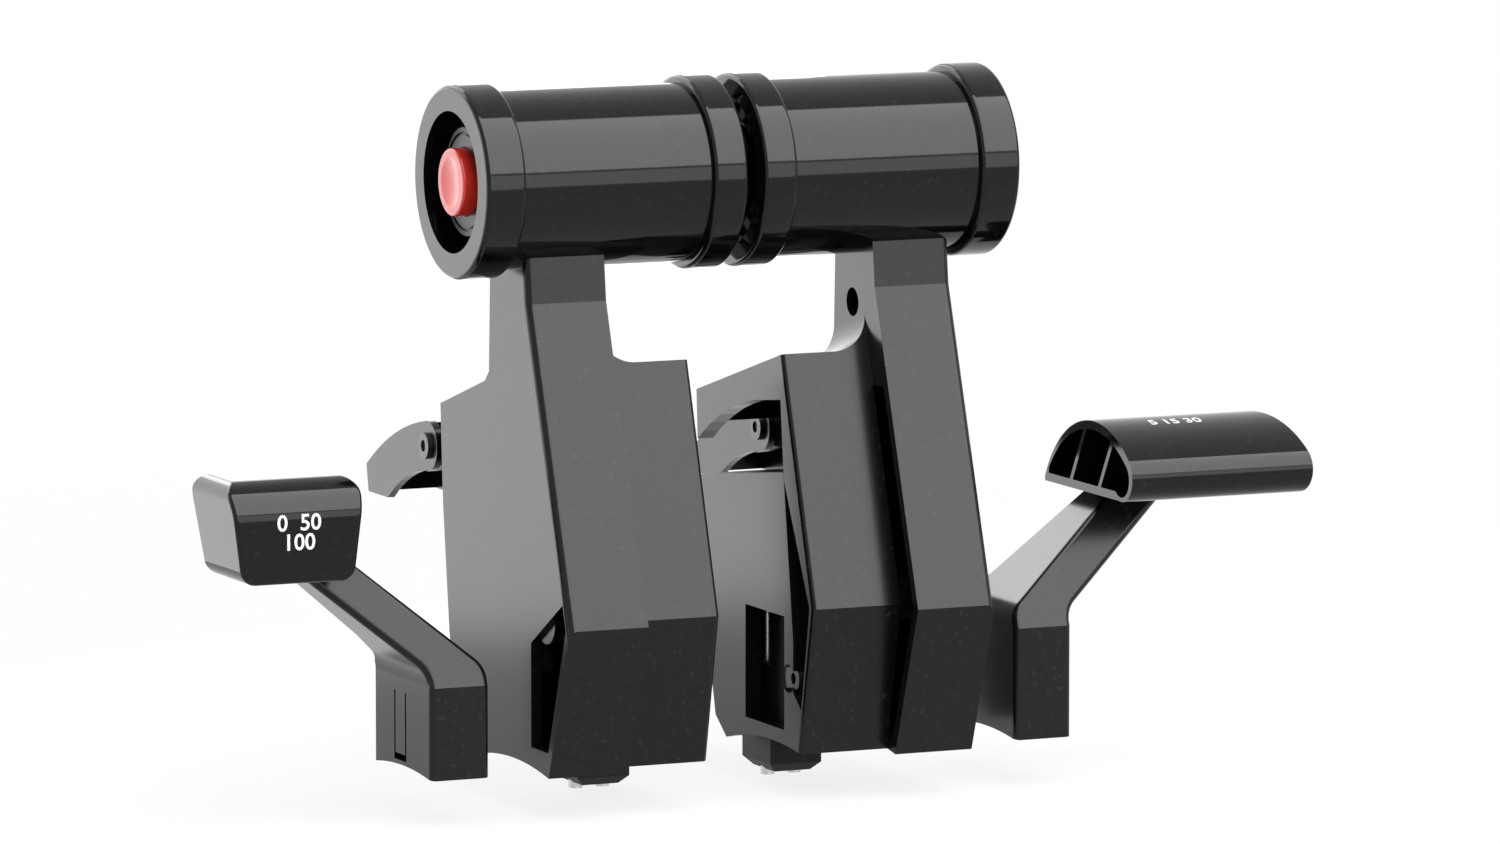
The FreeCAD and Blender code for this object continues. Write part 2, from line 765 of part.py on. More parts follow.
def bent_rod(points):
    """Round wire through a list of places, with ball-shaped bends."""
    pieces = []
    for start, end in zip(points, points[1:]):
        a = FreeCAD.Vector(*start)
        b = FreeCAD.Vector(*end)
        pieces.append(Part.makeCylinder(rod_radius, (b - a).Length, a, b - a))
    for place in points[1:-1]:
        pieces.append(Part.makeSphere(rod_radius, FreeCAD.Vector(*place)))
    return pieces[0].fuse(pieces[1:]).removeSplitter()


def button_rod():
    """Rod from the button's crank down the neck to the foot."""
    crank_x, crank_z = button_crank_place()
    top_x = crank_x + crank_reach
    low_x = arm_x + rod_spacing / 2
    return bent_rod([(top_x, grip_y, crank_z - crank_arm_width / 2 - fit_gap), (top_x, grip_y, crank_rod_z),
                     (top_x, neck_rod_y, neck_rod_z), (top_x, neck_rod_y, button_rod_bend_z),
                     (low_x, rod_row_y, button_rod_straight_z), (low_x, rod_row_y, guide_foot_z - rod_tip)])


def reverse_rod():
    """Rod from the reverse lever's crank down to the foot."""
    x, y, z = reverse_crank_place()
    low_x = arm_x - rod_spacing / 2
    top_z = z - crank_arm_width / 2 - fit_gap
    return bent_rod([(x, y - crank_reach, top_z), (x, y - crank_reach, reverse_rod_bend_z),
                     (low_x, rod_row_y, reverse_rod_straight_z), (low_x, rod_row_y, guide_foot_z - rod_tip)])


def rod_guide():
    """Block below the foot in which both rods slide."""
    half = guide_width / 2
    body = box((arm_x - half, arm_x + half), (guide_front_y, guide_back_y), (guide_foot_z, guide_top_z))
    foot = [edge for edge in body.Edges if edge.BoundBox.ZMax < guide_foot_z + near]
    body = body.makeChamfer(guide_chamfer, foot)
    for side in (-1, 1):
        body = body.cut(rod_z(arm_x + side * rod_spacing / 2, rod_row_y, rod_radius + rod_clearance,
                              guide_foot_z - 1, guide_top_z + 1))
    return body


def thrust_socket_outline():
    """Outside of a thrust lever's arm socket, as ranges of X and Y."""
    half_x = arm_width / 2 + arm_fit + thrust_socket_wall
    half_y = arm_depth / 2 + arm_fit + thrust_socket_wall
    return (arm_x - half_x, arm_x + half_x), (thrust_socket_y - half_y, thrust_socket_y + half_y)


def arm_pocket(x, y, z0, z1):
    half_x = arm_width / 2 + arm_fit
    half_y = arm_depth / 2 + arm_fit
    return box((x - half_x, x + half_x), (y - half_y, y + half_y), (z0, z1))


def arm_socket():
    """Box inside the housing that slips over the arm of the base."""
    x, y = thrust_socket_outline()
    body = box(x, y, (-clear, thrust_socket_height))
    body = body.cut(swing_cylinder(0, x[0] - 1, x[1] + 1))
    pocket_top_z = thrust_socket_height - thrust_socket_roof
    body = body.cut(arm_pocket(arm_x, thrust_socket_y, -clear, pocket_top_z))
    return body.cut(rod_x(cover_screw_y, cover_screw_z, screw_radius, arm_x, x[1] + 1))


def grip_cap():
    """Plug in the inner end of a grip, set back a little."""
    x1 = grip_inner_x - cap_recess
    body = rod_x(grip_y, grip_z, grip_bore_radius - fit_gap / 2, x1 - cap_length, x1)
    groove = ring_x(grip_y, grip_z, cap_groove_radius - cap_groove_width / 2,
                    cap_groove_radius + cap_groove_width / 2, x1 - cap_groove_depth, x1 + 1)
    hub = rod_x(grip_y, grip_z, cap_hub_radius, x1 - cap_groove_depth, x1 + 1)
    return body.cut(groove).cut(hub)


# Reverse lever

def lever_side_outline():
    """Side plate of the reverse lever beyond its eye, relative to the pivot."""
    start = FreeCAD.Vector(0, reverse_eye_radius, 0)
    tip = FreeCAD.Vector(reverse_length, -reverse_tip_drop, 0)
    crown = (start + tip) * 0.5 + FreeCAD.Vector(0, reverse_crown, 0)
    top = Part.Arc(start, crown, tip).toShape().discretize(curve_points)
    low_z = -reverse_tip_drop - reverse_tip_height
    arch = Part.Arc(FreeCAD.Vector(reverse_arch_end, low_z, 0),
                    FreeCAD.Vector(reverse_arch_start, low_z + reverse_arch_height, 0),
                    FreeCAD.Vector(0, -reverse_eye_radius, 0)).toShape().discretize(curve_points)
    points = [(point.x, point.y) for point in top + arch]
    points.insert(curve_points, (reverse_length - reverse_tip_lean, low_z))
    return points


def reverse_lever():
    """Hood-shaped lever: two side plates, a skin between them, and a middle web with the cam."""
    outline = lever_side_outline()
    x0 = shell_x + reverse_offset
    x1 = x0 + reverse_width
    placed = [(y + reverse_y, z + reverse_z) for y, z in outline]
    solid = plate_x(placed, x0, x1).fuse(rod_x(reverse_y, reverse_z, reverse_eye_radius, x0, x1))
    middle = (x0 + x1) / 2
    body = solid.cut(plate_x([(y + reverse_y, z + reverse_z) for y, z in hood_hollow()],
                             x0 + reverse_plate, x1 - reverse_plate))
    body = body.cut(rod_x(reverse_y, reverse_z, reverse_skin_start, x0 + reverse_plate, x1 - reverse_plate))
    web = plate_x([(y + reverse_y, z + reverse_z) for y, z in web_outline()],
                  middle - reverse_web / 2, middle + reverse_web / 2)
    body = body.fuse(web).removeSplitter()
    return body.cut(rod_x(reverse_y, reverse_z, reverse_pin_radius + pin_clearance, x0 - 1, x1 + 1))


def hood_hollow():
    """Space under the skin, relative to the pivot."""
    outline = lever_side_outline()
    top = outline[:curve_points]
    lowered = [(y, z - reverse_plate) for y, z in top if y < reverse_length - reverse_plate]
    end_y = reverse_length - reverse_plate
    return lowered + [(end_y, -reverse_tip_drop - reverse_plate), (end_y, -clear), (-clear, -clear),
                      (-clear, reverse_eye_radius - reverse_plate)]


def polar(radius, angle):
    return radius * math.cos(math.radians(angle)), radius * math.sin(math.radians(angle))


def web_outline():
    """Middle web with a spiral cam on its rear side, relative to the pivot."""
    shares = [i / cam_steps for i in range(cam_steps + 1)]
    cam = [polar(cam_radius + cam_rise * share, 180 - cam_turn * share) for share in shares]
    rest = [polar(cam_radius, 180 + cam_rest_turn * share) for share in (1, 2 / 3, 1 / 3)]
    skin = lever_side_outline()[:curve_points]
    top = [(y, z - reverse_plate / 2) for y, z in skin if reverse_skin_start < y < reverse_length / 2]
    low = [(reverse_length / 2, -reverse_tip_drop), (0, -cam_radius)]
    return cam + [(web_waist, cam_radius)] + top + low + rest


def bracket_ranges():
    """X ranges of the two ears beside the web."""
    middle = reverse_middle_x()
    gap = reverse_web / 2 + running_gap
    return (middle - gap - bracket_ear, middle - gap), (middle + gap, middle + gap + bracket_ear)


def reverse_bracket():
    """Clevis on the far wall of the housing that carries the reverse lever and its crank."""
    middle = reverse_middle_x()
    half = bracket_height / 2
    pieces = []
    for ear in bracket_ranges():
        pieces.append(box(ear, (reverse_crank_y, reverse_y), (reverse_z - half, reverse_z + half)))
        pieces.append(rod_x(reverse_y, reverse_z, bracket_nose_radius, ear[0], ear[1]))
        pieces.append(box(ear, (reverse_crank_y - crank_hub_radius, reverse_crank_y + crank_hub_radius),
                          (reverse_z - crank_reach - crank_hub_radius, reverse_z + half)))
    low, high = bracket_ranges()
    low_z = reverse_z - bracket_flange_height / 2
    wall_y = at_height(back_outline[3], back_outline[4], low_z) - shell_wall - fit_gap
    body_y = (reverse_crank_y + crank_hub_radius + bracket_crank_gap, reverse_y - reverse_skin_start)
    pieces.append(box((low[1], high[0]), body_y, (reverse_z - half, reverse_z + half)))
    flange_x = (low[0] - bracket_flange_margin, high[1] + bracket_flange_margin)
    pieces.append(box(flange_x, (wall_y - bracket_flange_thickness, wall_y),
                      (low_z, low_z + bracket_flange_height)))
    body = pieces[0].fuse(pieces[1:]).removeSplitter()
    body = body.cut(rod_x(reverse_y, reverse_z, reverse_pin_radius, low[0] - 1, high[1] + 1))
    body = body.cut(rod_y(middle, reverse_z, plunger_radius + plunger_clearance, reverse_crank_y, reverse_y))
    y, z = reverse_crank_place()[1:]
    return body.cut(rod_x(y, z, crank_pin_radius, low[0] - 1, high[1] + 1))


def reverse_plunger():
    """Pin that the cam pushes against the crank."""
    middle = reverse_middle_x()
    y0 = reverse_crank_y + crank_arm_width / 2 + fit_gap
    pin = rod_y(middle, reverse_z, plunger_radius, y0, reverse_y - cam_radius - cam_gap)
    nose = [edge for edge in pin.Edges if edge.BoundBox.YMax < y0 + near]
    return pin.makeChamfer(plunger_radius - stem_tip_radius, nose)


def reverse_pivot():
    """Shouldered pin with a head on each side plate."""
    x0 = shell_x + reverse_offset
    x1 = x0 + reverse_width
    body = rod_x(reverse_y, reverse_z, reverse_pin_radius, x0, x1)
    for start, drive in ((x0 - pin_head_height, x0 - pin_head_height - 1), (x1, x1 + pin_head_height / 2)):
        body = body.fuse(rod_x(reverse_y, reverse_z, pin_head_radius, start, start + pin_head_height))
        body = body.cut(rod_x(reverse_y, reverse_z, socket_radius, drive, drive + 1 + pin_head_height / 2))
    return body.removeSplitter()


def torsion_spring():
    """Coil on the pivot between an ear and a side plate, with two short legs."""
    x0 = shell_x + reverse_offset + reverse_plate + fit_gap
    length = bracket_ranges()[0][0] - fit_gap - x0
    radius = reverse_pin_radius + torsion_clearance + torsion_wire / 2
    spring = coil(radius, torsion_wire, length, torsion_turns)
    return moved(turned(spring, (0, 1, 0), 90), x0, reverse_y, reverse_z)


# Speed brake and flap levers

def handle(centre_x, side, corner_z, end_x, top_z):
    """Arm socket with a branch that rises sideways to its knob and ends at end_x, top_z."""
    half = handle_width / 2
    back_y = handle_front_y + handle_depth
    slope = math.tan(math.radians(branch_rise))
    lift = branch_thickness / math.cos(math.radians(branch_rise))
    rise = (end_x - half) * slope
    outline = [(half, -clear), (half, corner_z), (end_x, corner_z + rise),
               (end_x, corner_z + rise + lift), (-half, corner_z + lift - handle_width * slope),
               (-half, -clear)]
    body = plate_y([(centre_x + side * x, z) for x, z in outline], handle_front_y, back_y)
    for place in (outline[1], outline[4]):
        bend = (centre_x + side * place[0], place[1])
        body = round_edges(body, handle_blend, lambda edge: is_bend(edge, bend))
    reach = (centre_x - clear, centre_x + clear)
    body = body.cut(swing_cylinder(0, *reach))
    start_z = corner_z - handle_blend / 2
    high_z = start_z + clear
    lean_y = handle_front_y + branch_front_lean * (high_z - start_z)
    body = body.cut(plate_x([(handle_front_y - 1, start_z), (handle_front_y, start_z), (lean_y, high_z),
                             (handle_front_y - 1, high_z)], *reach))
    back_high_y = branch_back_y - branch_back_lean * (high_z - corner_z - handle_blend)
    body = body.cut(plate_x([(back_y + 1, corner_z - 1), (back_y, corner_z - 1),
                             (branch_back_y, corner_z + handle_blend), (back_high_y, high_z),
                             (back_y + 1, high_z)], *reach))
    body = body.cut(box(reach, (handle_front_y - 1, back_y + 1), (top_z, top_z + clear)))
    body = round_edges(body, handle_edge_radius, lambda edge: is_front_side(edge, start_z))
    pocket_y = handle_front_y + handle_depth / 2
    body = body.cut(arm_pocket(centre_x, pocket_y, -clear, handle_pocket_depth))
    return snap_tongue(body, centre_x, side)


def is_bend(edge, place):
    """True for a straight edge along Y that passes through an (X, Z) place."""
    bounds = edge.BoundBox
    at_place = abs(bounds.XMin - place[0]) < near and abs(bounds.ZMin - place[1]) < near
    return at_place and bounds.XLength < near and bounds.ZLength < near


def is_front_side(edge, lean_z):
    """True for an edge that runs up the front of a handle or its branch."""
    for vertex in edge.Vertexes:
        point = vertex.Point
        front_y = handle_front_y + branch_front_lean * max(0, point.z - lean_z)
        if abs(point.y - front_y) > near:
            return False
    return edge.BoundBox.ZLength > near and len(edge.Vertexes) == 2


def snap_tongue(body, centre_x, side):
    """Three slits in the outer wall of a socket that leave a springy tongue."""
    outer = centre_x + side * (handle_width / 2 + 1)
    inner = centre_x + side * arm_width / 2
    depth = (min(outer, inner), max(outer, inner))
    low_y = tongue_y - tongue_width / 2
    high_y = tongue_y + tongue_width / 2
    height = (tongue_low_z, tongue_low_z + tongue_length)
    for slit_y in (low_y - tongue_slit, high_y):
        body = body.cut(box(depth, (slit_y, slit_y + tongue_slit), height))
    return body.cut(box(depth, (low_y - tongue_slit, high_y + tongue_slit),
                        (tongue_low_z - tongue_slit * 2, tongue_low_z)))


def brake_handle():
    body = handle(0, -1, brake_corner_z, brake_branch_reach, brake_knob_low_z + brake_tenon_height)
    x, y, z = brake_screw_place()
    body = body.cut(rod_y(x, z, screw_head_radius + fit_gap, y, y + handle_depth))
    return body.cut(rod_y(x, z, screw_radius, y - brake_screw_length, y + 1))


def flap_handle():
    body = handle(flap_x, 1, flap_corner_z, flap_branch_reach, flap_knob_low_z)
    x, y, z = flap_screw_place()
    return body.cut(rod_z(x, y, screw_radius, z - flap_screw_length, z + 1))


def brake_screw_place():
    """Underside of the head of the screw in the far side of the speed brake knob."""
    y = brake_knob_front_y + brake_knob_depth - brake_knob_back_lean - knob_screw_recess
    return brake_screw_inset - brake_branch_reach, y, brake_knob_low_z + brake_screw_height


def flap_screw_place():
    """Underside of the head of the screw on the floor of the flap knob."""
    x = flap_x + flap_branch_reach - flap_screw_inset
    return x, flap_screw_y, flap_knob_low_z + flap_knob_wall


def brake_knob():
    """Block knob, wider at the top, with a round brow and a leaning back."""
    low = brake_knob_low_z
    high = low + brake_knob_height
    front = brake_knob_front_y
    back = front + brake_knob_depth
    half = brake_knob_width / 2
    over = high + brake_knob_crease
    corners = [(brake_knob_x - half, over), (brake_knob_x + half, over),
               (brake_knob_x + half - brake_knob_taper, low), (brake_knob_x - half + brake_knob_taper, low)]
    body = plate_y(corners, front, back)
    body = round_edges(body, brake_knob_corner, lambda edge: edge.BoundBox.YLength > brake_knob_depth - 1)
    reach = (brake_knob_x - brake_knob_width, brake_knob_x + brake_knob_width)
    side = plate_x([(front, low), (front, high), (back, high), (back - brake_knob_back_lean, low)], *reach)
    side = round_edges(side, brake_knob_brow, lambda edge: is_ridge(edge, front, high))
    side = round_edges(side, brake_knob_back_round, lambda edge: is_ridge(edge, back, high))
    side = round_edges(side, brake_knob_corner, lambda edge: is_ridge(edge, back - brake_knob_back_lean, low))
    body = body.common(side)
    body = round_edges(body, knob_edge_radius, lambda edge: edge.BoundBox.YMax < front + near)
    body = body.cut(handle(0, -1, brake_corner_z, brake_branch_reach, low + brake_tenon_height))
    x, y, z = brake_screw_place()
    body = body.cut(rod_y(x, z, screw_radius + fit_gap, y - brake_screw_length - 1, back + 1))
    return body.cut(rod_y(x, z, screw_head_radius + fit_gap, y, back + 1))


def is_ridge(edge, y, z):
    """True for an edge along X at a (Y, Z) place."""
    bounds = edge.BoundBox
    at_place = abs(bounds.YMin - y) < near and abs(bounds.ZMin - z) < near
    return at_place and bounds.YLength < near and bounds.ZLength < near


def flap_profile(shrink):
    """Wing-shaped outline of the flap knob as a face in the YZ plane, moved inwards by shrink."""
    low = flap_knob_low_z + shrink
    high = flap_knob_low_z + flap_knob_height - shrink
    nose_y = flap_knob_nose_y + shrink
    tail_y = flap_knob_nose_y + flap_knob_chord - shrink
    chin = FreeCAD.Vector(0, nose_y + flap_knob_chin, low)
    nose = FreeCAD.Vector(0, nose_y, flap_knob_nose_z)
    brow_z = flap_knob_nose_z + flap_knob_brow_rise - shrink / 2
    brow = FreeCAD.Vector(0, nose_y + flap_knob_brow_depth, brow_z)
    crest = FreeCAD.Vector(0, flap_knob_crest_y, high)
    tail = FreeCAD.Vector(0, tail_y, low + flap_knob_tail_height)
    heel = FreeCAD.Vector(0, tail_y, low)
    edges = [Part.Arc(chin, nose, brow).toShape(), Part.Arc(brow, crest, tail).toShape(),
             Part.LineSegment(tail, heel).toShape(), Part.LineSegment(heel, chin).toShape()]
    return Part.Face(Part.Wire(edges))


def flap_knob():
    """Hollow wing-shaped knob, open at its left end, with two ribs inside."""
    x0 = flap_x + flap_knob_offset
    x1 = x0 + flap_knob_length
    body = moved(flap_profile(0), x0, 0, 0).extrude(FreeCAD.Vector(x1 - x0, 0, 0))
    body = body.cut(skew_cut(x1))
    hollow = moved(flap_profile(flap_knob_wall), x0 - 1, 0, 0)
    hollow = hollow.extrude(FreeCAD.Vector(x1 - x0 + 1 - flap_knob_wall, 0, 0))
    hollow = hollow.cut(skew_cut(x1 - flap_knob_wall))
    for top_y, low_y in ((flap_rib_1_top_y, flap_rib_1_low_y), (flap_rib_2_top_y, flap_rib_2_low_y)):
        high_z = flap_knob_low_z + flap_knob_height
        rib = plate_x([(low_y, flap_knob_low_z), (low_y + flap_knob_rib, flap_knob_low_z),
                       (top_y + flap_knob_rib, high_z), (top_y, high_z)], x0, x1)
        hollow = hollow.cut(rib)
    body = body.cut(hollow)
    x, y, z = flap_screw_place()
    return body.cut(rod_z(x, y, screw_radius + fit_gap, flap_knob_low_z - 1, z + 1))


def skew_cut(x):
    """Wedge that cuts the right end of the flap knob askew."""
    front = flap_knob_nose_y - 1
    back = flap_knob_nose_y + flap_knob_chord + 1
    low = flap_knob_low_z - 1
    far = x + flap_knob_length
    corners = [FreeCAD.Vector(x, front, low), FreeCAD.Vector(x - flap_knob_skew, back, low),
               FreeCAD.Vector(far, back, low), FreeCAD.Vector(far, front, low)]
    face = Part.Face(Part.makePolygon(corners + corners[:1]))
    return face.extrude(FreeCAD.Vector(0, 0, flap_knob_height + 2))


def brake_knob_screw():
    x, y, z = brake_screw_place()
    return moved(turned(screw(0, 0, 0, brake_screw_length), (0, 0, 1), 90), x, y, z)


def flap_knob_screw():
    x, y, z = flap_screw_place()
    return moved(turned(screw(0, 0, 0, flap_screw_length), (0, 1, 0), -90), x, y, z)


# Export

thrust_pieces = {
    "outer_shell": outer_shell, "inner_shell": inner_shell, "side_cover": inner_cover,
    "case_screws": case_screws, "arm_socket": arm_socket, "rod_guide": rod_guide,
    "grip": grip, "grip_end_cap": grip_cap, "button_carrier": button_carrier, "button": button,
    "button_spring": button_spring, "button_crank": button_crank, "button_crank_pin": button_crank_pin,
    "button_rod": button_rod, "reverse_bracket": reverse_bracket, "reverse_lever": reverse_lever,
    "reverse_pivot": reverse_pivot, "reverse_spring": torsion_spring, "reverse_plunger": reverse_plunger,
    "reverse_crank": reverse_crank, "reverse_crank_pin": reverse_crank_pin, "reverse_rod": reverse_rod,
}
single_pieces = {
    "speed_brake_handle": brake_handle, "speed_brake_knob": brake_knob,
    "speed_brake_knob_screw": brake_knob_screw,
    "flap_handle": flap_handle, "flap_knob": flap_knob, "flap_knob_screw": flap_knob_screw,
}


def main():
    os.makedirs("parts", exist_ok=True)
    middle = FreeCAD.Vector(set_middle_x, 0, 0)
    for name, build in thrust_pieces.items():
        shape = build()
        shape.exportStep(f"parts/left_{name}.step")
        shape.mirror(middle, FreeCAD.Vector(1, 0, 0)).exportStep(f"parts/right_{name}.step")
    for name, build in single_pieces.items():
        build().exportStep(f"parts/{name}.step")


main()
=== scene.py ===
"""Throttle quadrant lever set: finishes, printed marks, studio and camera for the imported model."""
import bpy
import math
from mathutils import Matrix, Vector

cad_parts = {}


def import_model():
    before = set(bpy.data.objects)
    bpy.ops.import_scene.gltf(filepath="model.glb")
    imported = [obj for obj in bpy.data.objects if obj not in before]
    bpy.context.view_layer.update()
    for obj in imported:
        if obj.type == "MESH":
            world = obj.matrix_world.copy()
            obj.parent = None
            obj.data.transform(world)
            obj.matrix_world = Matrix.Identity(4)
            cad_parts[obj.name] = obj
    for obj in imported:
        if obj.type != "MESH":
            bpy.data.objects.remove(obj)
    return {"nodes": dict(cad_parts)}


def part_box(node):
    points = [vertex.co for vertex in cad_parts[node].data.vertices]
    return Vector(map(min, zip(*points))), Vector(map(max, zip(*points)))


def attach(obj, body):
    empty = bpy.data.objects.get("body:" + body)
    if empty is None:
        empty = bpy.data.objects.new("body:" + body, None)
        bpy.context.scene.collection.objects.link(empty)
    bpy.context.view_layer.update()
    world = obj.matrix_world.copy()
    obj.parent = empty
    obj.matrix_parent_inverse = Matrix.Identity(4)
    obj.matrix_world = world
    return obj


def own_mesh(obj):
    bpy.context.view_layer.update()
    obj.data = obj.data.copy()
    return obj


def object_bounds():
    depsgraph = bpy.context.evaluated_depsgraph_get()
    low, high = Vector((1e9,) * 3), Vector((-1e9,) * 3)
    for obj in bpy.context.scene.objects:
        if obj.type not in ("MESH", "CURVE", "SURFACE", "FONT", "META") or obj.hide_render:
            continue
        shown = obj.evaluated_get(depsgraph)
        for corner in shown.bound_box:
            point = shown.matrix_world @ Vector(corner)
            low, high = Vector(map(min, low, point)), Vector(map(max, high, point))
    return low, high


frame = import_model()
cad_box = [list(corner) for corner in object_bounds()]
low, high = (Vector(corner) for corner in cad_box)
centre = (low + high) / 2
knob_low, knob_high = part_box("speed_brake_knob")
flap_low, flap_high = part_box("flap_knob")

bl_info = {
    "name": "Throttle quadrant lever set",
    "version": (1, 0, 0),
    "blender": (4, 5, 0),
    "location": "3D View > Sidebar > Quadrant",
    "description": "Finishes, printed marks and studio for a set of four cockpit levers",
    "category": "Object",
}

sides = ("left", "right")

# Refractive indices; the black plastics keep a low one, so that they stay black in a white room
black_plastic_ior = 1.32
button_ior = 1.49
nylon_ior = 1.53
ink_ior = 1.45

# Surface effects: noise runs from 0 to 1, and a speck begins and is full at these values of it.
# Dust lifts every channel of a colour, and a dull spot on metal keeps a share of its colour.
noise_middle = 0.5
speck_scale = 900.0
speck_begins = 0.60
speck_full = 0.78
dust_lift = 0.12
tarnish = 0.6
tarnish_share = 0.5
line_spread = 0.25
line_depth = 0.00001
coarse_grain = 1.5

# A Mix node's colour sockets share their names with its plain ones, so they go by number
mix_colour_a = 6
mix_colour_b = 7
mix_colour_result = 2

# Printed figures: the spread is a share of their height, and a knob's surface is found from above the set
line_spacing = 0.85
ink_spread = 0.015
curve_steps = 4
upright = math.radians(90)
above_the_set = 1.0

# Camera: sensor in millimetres, reach in metres
camera_sensor = 36
camera_reach = 50


# Settings

def colour(name, description, value):
    """Colour setting."""
    return bpy.props.FloatVectorProperty(name=name, description=description, default=value,
                                         subtype="COLOR", size=3, min=0, max=1)


def length(name, description, value):
    """Length setting in metres."""
    return bpy.props.FloatProperty(name=name, description=description, default=value,
                                   unit="LENGTH", subtype="DISTANCE", min=0)


def share(name, description, value):
    """Setting between 0 and 1."""
    return bpy.props.FloatProperty(name=name, description=description, default=value,
                                   subtype="FACTOR", min=0, max=1)


def level(name, description, value):
    """Brightness setting of a lamp."""
    return bpy.props.FloatProperty(name=name, description=description, default=value, min=0)


def turn(name, description, degrees):
    """Angle setting; the default is given in degrees."""
    return bpy.props.FloatProperty(name=name, description=description, default=math.radians(degrees),
                                   subtype="ANGLE")


class QuadrantFinish(bpy.types.PropertyGroup):
    """Colours and surface of the moulded and metal parts."""
    shell: colour("Shell", "Black of the housings and lever arms", (0.0022, 0.0022, 0.0025))
    grip: colour("Grip", "Black of the grips and knobs", (0.0018, 0.0018, 0.0021))
    matt: colour("Matt plastic", "Black of the inner mouldings", (0.004, 0.004, 0.0043))
    button: colour("Button", "Red of the push buttons", (0.52, 0.028, 0.018))
    screw: colour("Screw", "Blackened steel of the screws", (0.045, 0.045, 0.048))
    steel: colour("Steel", "Bright steel of rods, pins and springs", (0.56, 0.56, 0.57))
    nylon: colour("Nylon", "Natural nylon of the cranks and plungers", (0.74, 0.72, 0.66))
    shell_roughness: share("Shell roughness", "Roughness of the housings", 0.22)
    grip_roughness: share("Grip roughness", "Roughness of the grips", 0.07)
    grain: length("Grain", "Width of the moulded grain", 0.00022)
    spring_kept: share("Spring kept", "Share of a button spring's length that is left at full press", 0.47)


class QuadrantMarks(bpy.types.PropertyGroup):
    """Printed marks on the two small knobs."""
    ink: colour("Ink", "Colour of the printed marks", (0.45, 0.45, 0.45))
    brake_height: length("Speed brake figures", "Height of the figures on the speed brake knob", 0.0042)
    flap_height: length("Flap figures", "Height of the figures on the flap knob", 0.0036)
    flap_place: share("Flap figures place", "Place of the figures along the flap knob", 0.40)
    flap_depth: share("Flap figures depth", "Place of the figures from the knob's nose to its tail", 0.34)
    thickness: length("Ink thickness", "How far the ink stands proud", 0.00006)


class QuadrantStudio(bpy.types.PropertyGroup):
    """Floor, lamps and camera."""
    paper: colour("Paper", "Colour of the floor where light falls on it", (0.52, 0.52, 0.52))
    white_share: share("White share", "How much of the floor near the set is plain white to the eye", 0.84)
    shadow_reach: length("Shadow reach", "Distance at which the floor has become plain white", 0.55)
    floor_size: length("Floor size", "Edge of the square floor", 8.0)
    floor_gap: length("Floor gap", "Gap between the levers and the floor", 0.0005)
    ambient: share("Ambient", "Brightness of the room for the light that falls on the set", 0.35)
    front_level: level("Front panel", "Brightness of the large panel above the front", 6.4)
    low_level: level("Low panel", "Brightness of the low panel in front", 2.6)
    side_level: level("Side panel", "Brightness of the panel behind the left side", 1.9)
    back_level: level("Back panel", "Brightness of the panel above the back", 3.0)
    camera_distance: length("Camera distance", "Distance from the camera to the set", 1.96)
    camera_azimuth: turn("Camera azimuth", "Angle round the set", -24)
    camera_height: turn("Camera elevation", "Angle above the horizon", 7.3)
    target: bpy.props.FloatVectorProperty(name="Target", description="Place that the camera looks at",
                                          size=3, subtype="TRANSLATION", default=(0.06735, 0.0075, 0.059))
    lens: bpy.props.FloatProperty(name="Lens", description="Focal length", default=252, unit="CAMERA")


# Shader groups

def new_group(name, inputs, outputs):
    """Node group with its sockets; returns it with its input and output nodes."""
    group = bpy.data.node_groups.new(name, "ShaderNodeTree")
    for socket, kind, value in inputs:
        made = group.interface.new_socket(socket, in_out="INPUT", socket_type=kind)
        made.default_value = value
    for socket, kind in outputs:
        group.interface.new_socket(socket, in_out="OUTPUT", socket_type=kind)
    return group, group.nodes.new("NodeGroupInput"), group.nodes.new("NodeGroupOutput")


def moulded_grain():
    """Fine spark-eroded grain with the slow waviness of a moulded wall."""
    group, given, out = new_group(
        "Moulded grain",
        [("Grain Scale", "NodeSocketFloat", 4500.0), ("Wave Scale", "NodeSocketFloat", 60.0),
         ("Wave Share", "NodeSocketFloat", 0.3)],
        [("Height", "NodeSocketFloat")])
    nodes, links = group.nodes, group.links
    place = nodes.new("ShaderNodeTexCoord")
    grain = nodes.new("ShaderNodeTexNoise")
    grain.inputs["Detail"].default_value = 2.0
    wave = nodes.new("ShaderNodeTexNoise")
    wave.inputs["Detail"].default_value = 1.0
    mix = nodes.new("ShaderNodeMix")
    for texture, scale in ((grain, "Grain Scale"), (wave, "Wave Scale")):
        links.new(place.outputs["Object"], texture.inputs["Vector"])
        links.new(given.outputs[scale], texture.inputs["Scale"])
    links.new(given.outputs["Wave Share"], mix.inputs["Factor"])
    links.new(grain.outputs["Fac"], mix.inputs["A"])
    links.new(wave.outputs["Fac"], mix.inputs["B"])
    links.new(mix.outputs["Result"], out.inputs["Height"])
    return group


